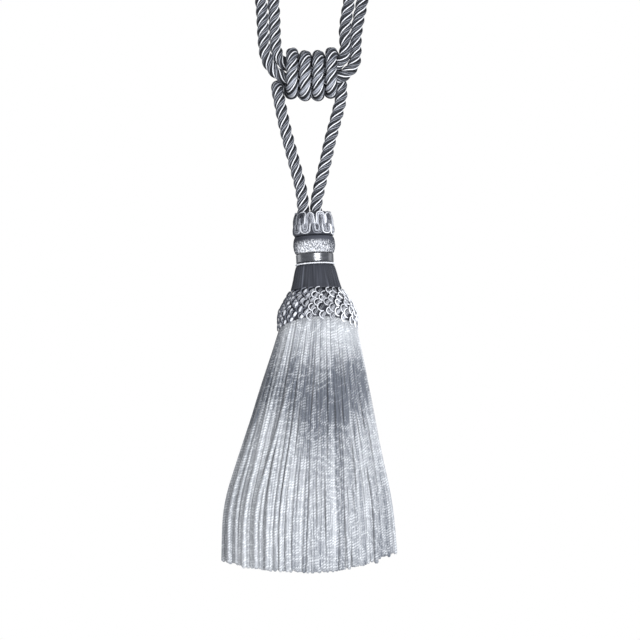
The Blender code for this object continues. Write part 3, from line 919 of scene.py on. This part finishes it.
def ruff_tier(skin, chance, phase, bottom, rise, foot, crown, narrowing):
    """One tier of loops: a bright yarn round the outside of each, grey yarns nested inside it."""
    s = np.linspace(-1.0, 1.0, RUFF_LOOP_POINTS)
    tapers = [narrowing * chance.uniform(0.2, 1.0) for _ in range(RUFF_LOOPS)]
    leans = [chance.uniform(-0.8, 0.8) for _ in range(RUFF_LOOPS)]
    for half, share, radius, back, slot in RUFF_NEST:
        paths, outs = np.empty((2, RUFF_LOOPS, RUFF_LOOP_POINTS, 3))
        shades = np.array([chance.random() for _ in range(RUFF_LOOPS)])
        for k in range(RUFF_LOOPS):
            middle = TAU * (k + phase + chance.uniform(-0.04, 0.04)) / RUFF_LOOPS
            # painted shading: loops at the head's right painted paler, those at its left darker
            shades[k] += 0.2 * math.cos(middle)
            lift = rise * share * chance.uniform(0.92, 1.04)
            height = bottom - lift * (1.0 - np.abs(s) ** 2.2)
            climb = (bottom - height) / rise
            bulge = RUFF_BULGE_MM * np.sin(math.pi * climb)
            reach = (foot + (crown - foot) * climb + bulge - back) * MM
            across = half * np.sin(0.5 * math.pi * np.clip(1.7 * s, -1.0, 1.0)) * (1.0 - tapers[k] * climb)
            across += (leans[k] + chance.uniform(-0.3, 0.3)) * climb
            angle = middle + across * MM / reach
            paths[k] = on_head(angle, reach, height * MM)
            outs[k] = out_of_head(angle)
        skin.tubes(paths, outs, radius * MM, sides=6, lay_step=0.22, slot=slot, shades=shades)


def knot_bodies(skin, centres, along, outward, lengths, radii, shades):
    """Oval knots of yarn: short tubes that swell in the middle."""
    swell = np.array([0.3, 0.72, 0.94, 1.0, 0.94, 0.72, 0.3])
    steps = np.outer(lengths, np.linspace(-0.5, 0.5, len(swell)))
    paths = centres[:, None] + along[:, None] * steps[:, :, None]
    outs = np.repeat(outward[:, None], len(swell), 1)
    skin.tubes(paths, outs, np.outer(radii, swell), sides=8, lay_step=0.35, slot=YARN, shades=shades)


def ruff_rim(skin, chance):
    """Oval knots of grey yarn round the opening for the rope."""
    angle = TAU * (np.arange(RUFF_RIM_KNOTS) + 0.5) / RUFF_RIM_KNOTS
    centres = on_head(angle, opening_reach(angle) + RUFF_RIM_SEAT, RUFF_RIM_SEAT)
    along = unit(np.roll(centres, -1, 0) - np.roll(centres, 1, 0))
    shades = np.array([chance.random() for _ in centres])
    lengths, radii = (np.full(RUFF_RIM_KNOTS, size) for size in RUFF_RIM_KNOT)
    knot_bodies(skin, centres, along, out_of_head(angle), lengths, radii, shades)


def add_cap_ruff():
    chance = random.Random(3)
    skin = Skin()
    ruff_ground(skin)
    for tier in RUFF_TIERS:
        ruff_tier(skin, chance, *tier)
    ruff_rim(skin, chance)
    made = skin.build("ruff", [FINISHES["ground"], FINISHES["ruff"], FINISHES["net_edge"]])
    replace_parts(made, "cap_ruff")


def add_neck_roll():
    def threads(angle, share):
        return 0.1 * MM * np.sin(ROLL_THREADS * angle + 2.0 * share) * np.sin(math.pi * share)

    skin = Skin()
    turned(skin, ROLL_PROFILE_MM, rows=36, columns=ROLL_THREADS * COLUMNS_PER_THREAD, relief=threads)
    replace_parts(skin.build("neck_wrap", [FINISHES["boucle"]]), "neck_roll")


def add_satin_band():
    def ridges(angle, share):
        return 0.01 * MM * np.sin(TAU * SATIN_RIDGES * share)

    skin = Skin()
    turned(skin, SATIN_PROFILE_MM, rows=72, columns=120, relief=ridges)
    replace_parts(skin.build("satin_ring", [FINISHES["satin"]]), "satin_band")


def add_neck_cord():
    skin = Skin()
    rows = NECK_CORD_LAYS * NECK_CORD_RINGS_PER_LAY + 1
    angle = TAU * (np.arange(rows) / (rows - 1) + SEAM_TURN)
    for ply in range(2):
        turn = NECK_CORD_LAYS * angle + math.pi * ply
        reach = NECK_CORD_RADIUS + PLY_OFFSET * np.cos(turn)
        path = on_head(angle, reach, NECK_CORD_HEIGHT + PLY_OFFSET * np.sin(turn))
        skin.tubes(path[None], out_of_head(angle)[None], PLY_RADIUS, sides=6, lay_step=0.1)
    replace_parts(skin.build("twisted_neck_cord", [FINISHES["yarn"]]), "neck_cord")


def add_bell():
    def threads(angle, share):
        return 0.07 * MM * np.sin(BELL_THREADS * angle) * np.clip(6.0 * share - 0.6, 0.0, 1.0)

    skin = Skin()
    turned(skin, BELL_PROFILE_MM, rows=30, columns=BELL_THREADS * COLUMNS_PER_THREAD, relief=threads)
    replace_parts(skin.build("satin_bell", [FINISHES["bell"]]), "bell")


def collar_rise(angle):
    return COLLAR_RISE * np.abs(np.sin(angle)) ** 1.5


def collar_radius(share):
    rise = COLLAR_FULL_RADIUS - COLLAR_CROWN_RADIUS
    return COLLAR_CROWN_RADIUS + rise * np.sin(np.minimum(1.0, share * 1.32) * math.pi / 2) ** 1.15


def collar_ground(skin):
    """The dark ground of the net, its top and bottom edges turned in."""
    down, inside = COLLAR_GROUND_MM
    profile = [(COLLAR_TOP_MM, COLLAR_EDGES_MM[0])]
    for share in np.linspace(0.0, 1.0, 12):
        profile.append((COLLAR_TOP_MM + down * share, collar_radius(share) / MM - inside))
    profile.append((COLLAR_BOTTOM_MM, COLLAR_EDGES_MM[1]))
    turned(skin, profile, rows=30, columns=GROUND_COLUMNS)


def net_places(chance):
    """The middle of each knot of the net, and the directions along it, outward, right and up."""
    height = (COLLAR_BOTTOM_MM - COLLAR_TOP_MM) * MM
    axis = np.array(HEAD.to_3x3())[:, 2]
    facing, at_right, by_chance = COLLAR_KNOT_TILT
    places = []
    for row in range(COLLAR_KNOT_ROWS):
        share = (row + 0.85) / (COLLAR_KNOT_ROWS + 0.35)
        slope = (collar_radius(share + 0.02) - collar_radius(share - 0.02)) / (0.04 * height)
        for k in range(COLLAR_KNOTS):
            angle = np.array(TAU * (k + 0.5 * (row % 2) + chance.uniform(-0.14, 0.14)) / COLLAR_KNOTS)
            reach = collar_radius(share) + chance.uniform(0.0, 0.35) * MM
            drop = share * (height - collar_rise(angle)) + chance.uniform(-0.4, 0.4) * MM
            centre = on_head(angle, reach, COLLAR_TOP_MM * MM + drop)
            out = out_of_head(angle)
            up = unit(axis - slope * out)
            right = np.cross(axis, out)
            tilt = math.radians(facing + at_right * out[0] + chance.uniform(-by_chance, by_chance))
            along = math.cos(tilt) * right + math.sin(tilt) * up
            places.append((centre, along, unit(out + slope * axis), right, up))
    return np.array(places).swapaxes(0, 1)


def net_rims(skin, chance, centres, outward, rights, ups):
    """A fine yarn that stands out round the left of each knot."""
    to_right = outward[:, 0]
    at_left = np.clip(-to_right, 0.0, 1.0)
    uneven = np.array([chance.uniform(-0.3, 0.3) for _ in centres])
    size = ((2.3 + 0.25 * to_right - 0.5 * at_left + uneven) * MM)[:, None, None]
    turn = np.radians(np.linspace(*RIM_ARC, RIM_POINTS))
    width = size * 1.05 * np.cos(turn)[None, :, None]
    tall = size * np.sin(turn)[None, :, None]
    lift = (0.95 + 0.25 * np.sin(np.linspace(0.0, math.pi, RIM_POINTS)))[None, :, None] * MM
    arcs = centres[:, None] + rights[:, None] * width + ups[:, None] * tall + outward[:, None] * lift
    outs = np.repeat(outward[:, None], RIM_POINTS, 1)
    # painted shading: rims at the right painted brighter, those at the left darker
    shades = np.array([chance.uniform(0.2, 1.0) for _ in centres]) + 0.5 * to_right - 0.9 * at_left
    skin.tubes(arcs, outs, RIM_RADIUS, sides=5, lay_step=0.1, slot=EDGE, shades=shades)


def add_netted_collar():
    """The knots are thicker at the right, and shorter and thinner at the left, with painted highlights
    that make them much paler at the left and a little paler at the right.
    """
    chance = random.Random(5)
    skin = Skin()
    collar_ground(skin)
    centres, along, outward, rights, ups = net_places(chance)
    to_right = outward[:, 0]
    at_left = np.clip(-to_right, 0.0, 1.0)
    shades = np.array([chance.random() for _ in centres])
    radii = (1.2 + 0.3 * to_right - 0.2 * at_left) * MM
    lengths = (5.0 - 1.5 * at_left) * MM
    # painted highlights: knots at the left painted much paler, those at the right a little paler
    paler = 2.6 * at_left + 0.35 * np.clip(to_right, 0.0, 1.0)
    knot_bodies(skin, centres, along, outward, lengths, radii, shades * 0.75 + 0.02 + paler)
    net_rims(skin, chance, centres, outward, rights, ups)
    made = skin.build("net_of_knots", [FINISHES["ground"], FINISHES["net"], FINISHES["net_edge"]])
    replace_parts(made, "netted_collar")


# ---- skirt ----

CORD_LAYERS = (
    # name, radius at the heading in mm, cords, share of the hem's reach, sides of a cord, tone
    # added (painted light that lifts the deeper layers out of their shadow), and how far a cord
    # strays sideways at the hem, in radians
    ("skirt_strays", 22.8, 26, 1.012, 8, 0.02, 0.15),
    ("skirt_outside", 22.6, 132, 0.978, 8, 0.0, 0.012),
    ("skirt_second", 21.6, 120, 0.962, 8, 0.06, 0.02),
    ("skirt_third", 20.0, 104, 0.94, 6, 0.1, 0.02),
    ("skirt_fourth", 16.0, 54, 0.75, 6, 0.1, 0.02),
    ("skirt_inside", 12.0, 36, 0.55, 6, 0.1, 0.02),
)
CORD_RADII = (0.8 * MM, 1.25 * MM)  # at the heading, where the cords are packed, and at the hem
CORD_POINTS = 30
CORD_LAY = 3.1 * MM
STRAIGHTER_AT_RIGHT = 0.6
SKIRT_TOP = 70.6 * MM  # at the sides, below the head's top
# Waves round the skirt, as (turns, phase, strength).
SKIRT_SWAY = ((5, 1.0, 1.0), (9, 2.3, 1.0))
HEM_SWELL_MM = ((3, 0.5, 1.1), (7, 2.0, 0.8))
SWAY_TURN = 0.008  # radians at the hem for a wave of strength 1
CLUMP_TURN = 0.006  # the same, for each layer's own waves
SKIRT_TUCK = 0.3 * MM  # up under the net
WANDER = (0.5 * MM, 0.35 * MM)  # of a cord, sideways and outward


def flare(share):
    """Share of the way out to the hem at a share of a cord's length."""
    start, end = FLARE_BEND
    bent = np.clip(share - start, 0.0, end - start)
    return FLARE * (np.minimum(share, end) - bent * bent / (2 * (end - start)))


def random_waves(chance, lowest, highest, count):
    """Waves round the skirt that fit it a whole number of times, as (turns, phase, strength)."""
    waves = []
    for _ in range(count):
        waves.append((chance.randint(lowest, highest), chance.uniform(0.0, TAU), chance.uniform(0.5, 1.0)))
    return waves


def wave_sum(waves, angle):
    return sum(strength * math.sin(turns * angle + phase) for turns, phase, strength in waves)


def skirt_layer(root_mm, count, reach, stray, chance):
    """Paths of one layer of bullion cords from the heading to the hem."""
    clumps = random_waves(chance, 9, 34, 7)
    paths = np.empty((count, CORD_POINTS, 3))
    share = np.append(np.linspace(0.0, 0.994, CORD_POINTS - 1), 1.0)
    own_turn = chance.random()
    for k in range(count):
        angle = TAU * (k + own_turn + chance.uniform(-0.25, 0.25)) / count
        top = SKIRT_TOP - float(collar_rise(angle)) - SKIRT_TUCK
        x, y = root_mm * MM * math.cos(angle), root_mm * MM * math.sin(angle)
        root = np.array(HEAD @ Vector((x, y, -top)))
        sway = SWAY_TURN * wave_sum(SKIRT_SWAY, angle)
        turned_to = angle + sway + CLUMP_TURN * wave_sum(clumps, angle) + chance.gauss(0.0, stray)
        swell = wave_sum(HEM_SWELL_MM, angle) * MM
        out = np.array((math.cos(turned_to), math.sin(turned_to), 0.0))
        hem_reach = np.array((HEM_HALF_WIDTH, HEM_HALF_DEPTH, 0.0)) + swell
        hem = np.array(HEM_CENTRE) + out * (hem_reach * reach + chance.gauss(0.0, 0.5) * MM)
        edge = np.array(HEM_CENTRE) + out * hem_reach
        spread, edge_spread = hem - root, edge - root
        spread[2] = edge_spread[2] = 0.0
        shorter = SIDE_LOCKS_SHORTER[math.cos(angle) > 0.0]
        length = LOCK_LENGTH + HEADING_BOTTOM - top - shorter * math.cos(angle) ** 2
        length -= abs(chance.gauss(0.0, 0.8)) * MM
        drop = math.sqrt(length**2 - (edge_spread**2).sum())
        straighter = STRAIGHTER_AT_RIGHT * max(math.cos(angle), 0.0)
        way_out = flare(share) * (1.0 - straighter) + share * straighter
        path = root + spread * way_out[:, None] - np.outer(share * drop, (0.0, 0.0, 1.0))
        along = np.array((-math.sin(angle), math.cos(angle), 0.0))
        room = np.clip(share * 3.0, 0.0, 1.0)
        wander = np.sin(chance.uniform(0.0, TAU) + TAU * chance.uniform(0.8, 2.2) * share) * room
        paths[k] = path + np.outer(wander * WANDER[0], along) + np.outer(wander * WANDER[1], out)
    return paths


def hump(value, middle, width):
    """1 where value is middle, falling smoothly to 0 over about twice width on either side."""
    return np.exp(-(((value - middle) / width) ** 2))


def skirt_tones_and_painted_shading(paths, chance):
    """A tone for each point: each cord its own, with painted shading over it: a painted shade band
    where the skirt begins to spread, a painted highlight at the top that is stronger at the right,
    painted shade over the right side and down the top of the left edge, the right edge paler near
    the top, and darker at the cords' ends and near the hem at the front and back.
    """
    own = np.array([chance.uniform(-0.14, 0.14) for _ in paths])[:, None]
    share = np.linspace(0.0, 1.0, paths.shape[1])
    middle = paths.mean(axis=0)[None]
    angle = np.arctan2(paths[..., 1] - middle[..., 1], paths[..., 0] - middle[..., 0])
    across = np.cos(angle)
    near_middle = hump(across, 0.0, 0.3125)
    right_of_it = hump(across, 0.42, 0.25)
    left_side = hump(across, -0.72, 0.25)
    right_edge = hump(across, 1.0, 0.3)
    uneven = np.roll(own, 7, 0) * 0.3
    # painted shade: a dark band round the skirt where it begins to spread, its place and depth varying
    # round it
    centre = 0.24 + 0.12 * near_middle + 0.045 * right_of_it + 0.025 * left_side + uneven
    strength = 0.395 + 0.03 * near_middle + 0.165 * right_of_it + 0.05 * left_side + 0.02 * right_edge
    band = strength * hump(share, centre, 0.125 + 0.055 * near_middle)
    drift = 0.04 * np.sin(5.0 * angle + 7.0 * share)
    # painted highlight at the top, stronger towards the right
    top = hump(share, 0.06, 0.1) * (0.5 + 0.5 * across)
    end = hump(share, 1.0, 0.02)
    # painted shadow down the top of the left edge
    left_edge_shadow = hump(across, -1.0, 0.15) * hump(share, 0.0, 0.42)
    low = hump(share, 1.0, 0.13) * np.sin(angle) ** 4
    # painted shade over the right side; the right edge paler near the top
    shift = 0.24 * top - 0.12 * end - 0.1 * low - 0.14 * across
    shift += 0.18 * right_edge * (1.0 - share) - 0.33 * left_edge_shadow
    return 0.37 + own - band + drift + shift


def add_skirt():
    chance = random.Random(11)
    step = LOCK_LENGTH / CORD_LAY / (CORD_POINTS - 1)
    for name, root_mm, count, reach, sides, tone, stray in CORD_LAYERS:
        paths = skirt_layer(root_mm, count, reach, stray, chance)
        out = paths - paths.mean(axis=0)
        out[..., 2] = 0.0
        # each layer's added tone is painted light, lifting the deeper layers out of their shadow
        tones_and_painted_shading = skirt_tones_and_painted_shading(paths, chance) + tone
        plump = np.array([chance.uniform(0.8, 1.15) for _ in paths])
        radii = np.outer(plump, np.linspace(*CORD_RADII, CORD_POINTS))
        radii[:, -1] *= 0.5
        starts = np.array([chance.random() for _ in paths])
        skin = Skin()
        skin.tubes(paths, unit(out), radii, sides=sides, lay_step=step, shades=tones_and_painted_shading, starts=starts)
        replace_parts(skin.build(name, [FINISHES["bullion"]]), "skirt")


FINISHES = {
    "strand": strand_satin(),
    "yarn": pale_yarn(),
    "ruff": ruff_yarn(),
    "ground": deep_thread(),
    "boucle": boucle_wrap(),
    "satin": wound_satin(),
    "bell": bell_satin(),
    "net": net_yarn(),
    "net_edge": net_edge(),
    "bullion": bullion(),
}
add_camera()
add_studio()
add_ropes()
add_cap_ruff()
add_neck_roll()
add_satin_band()
add_neck_cord()
add_bell()
add_netted_collar()
add_skirt()
